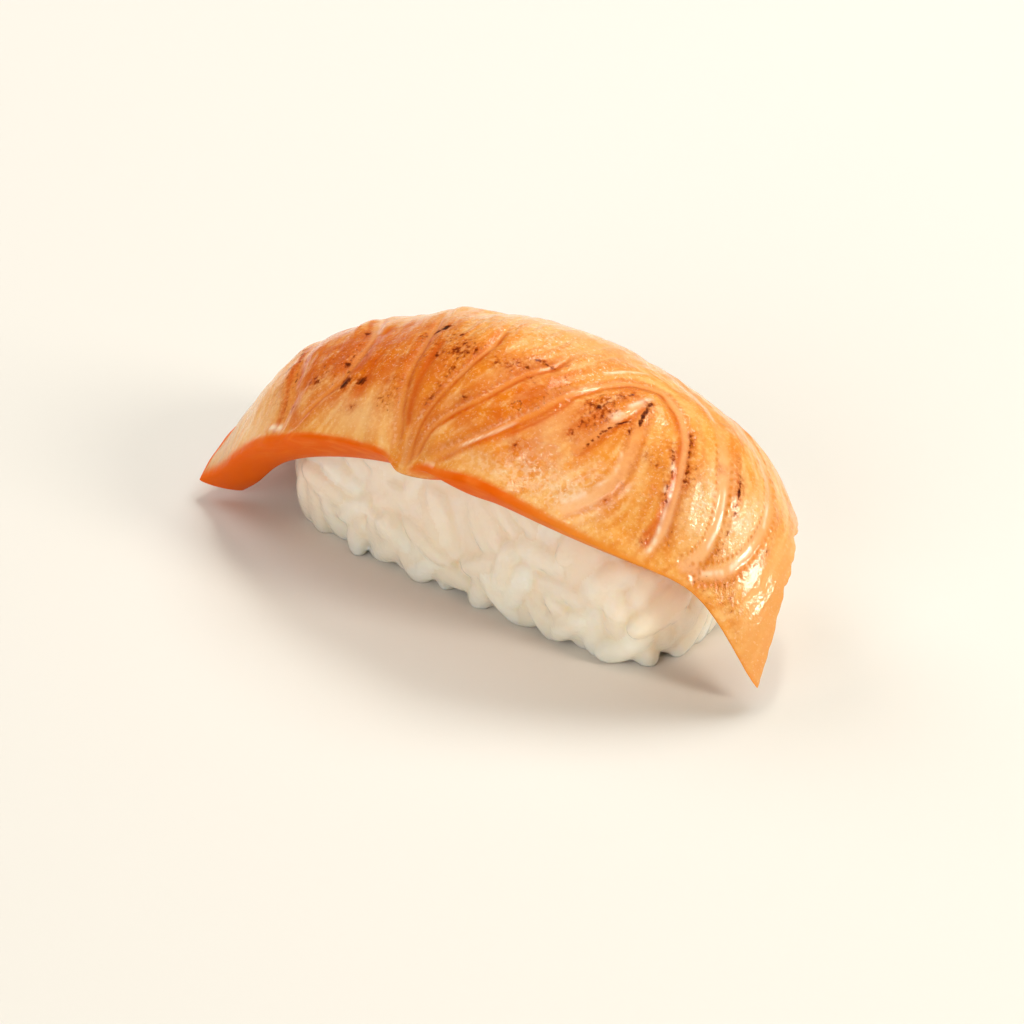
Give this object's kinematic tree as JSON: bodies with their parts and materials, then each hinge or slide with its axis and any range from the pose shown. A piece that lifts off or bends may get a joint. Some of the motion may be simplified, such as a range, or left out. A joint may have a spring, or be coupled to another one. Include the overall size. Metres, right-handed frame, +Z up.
{
  "type": "torched salmon nigiri",
  "caption": "Hand-pressed mound of vinegared rice under a long draped slice of flame-seared salmon whose tails hang down past both ends.",
  "frame": {"origin": "centre of the rice mound's flat base, on the surface that the nigiri rests on", "axes": "+Z up, +X along the slice from its blunt tail to its pointed tail, -Y the side that the picture shows"},
  "size_m": [0.0724, 0.0313, 0.0273],
  "materials": {
    "salmon": "moist seared flesh, glossy, with pale fat lines and small char spots",
    "rice": "moist translucent cooked grains, pressed together"
  },
  "bodies": {
    "root": {"salmon_slice": "salmon", "rice_mound": "rice"}
  },
  "joints": []
}
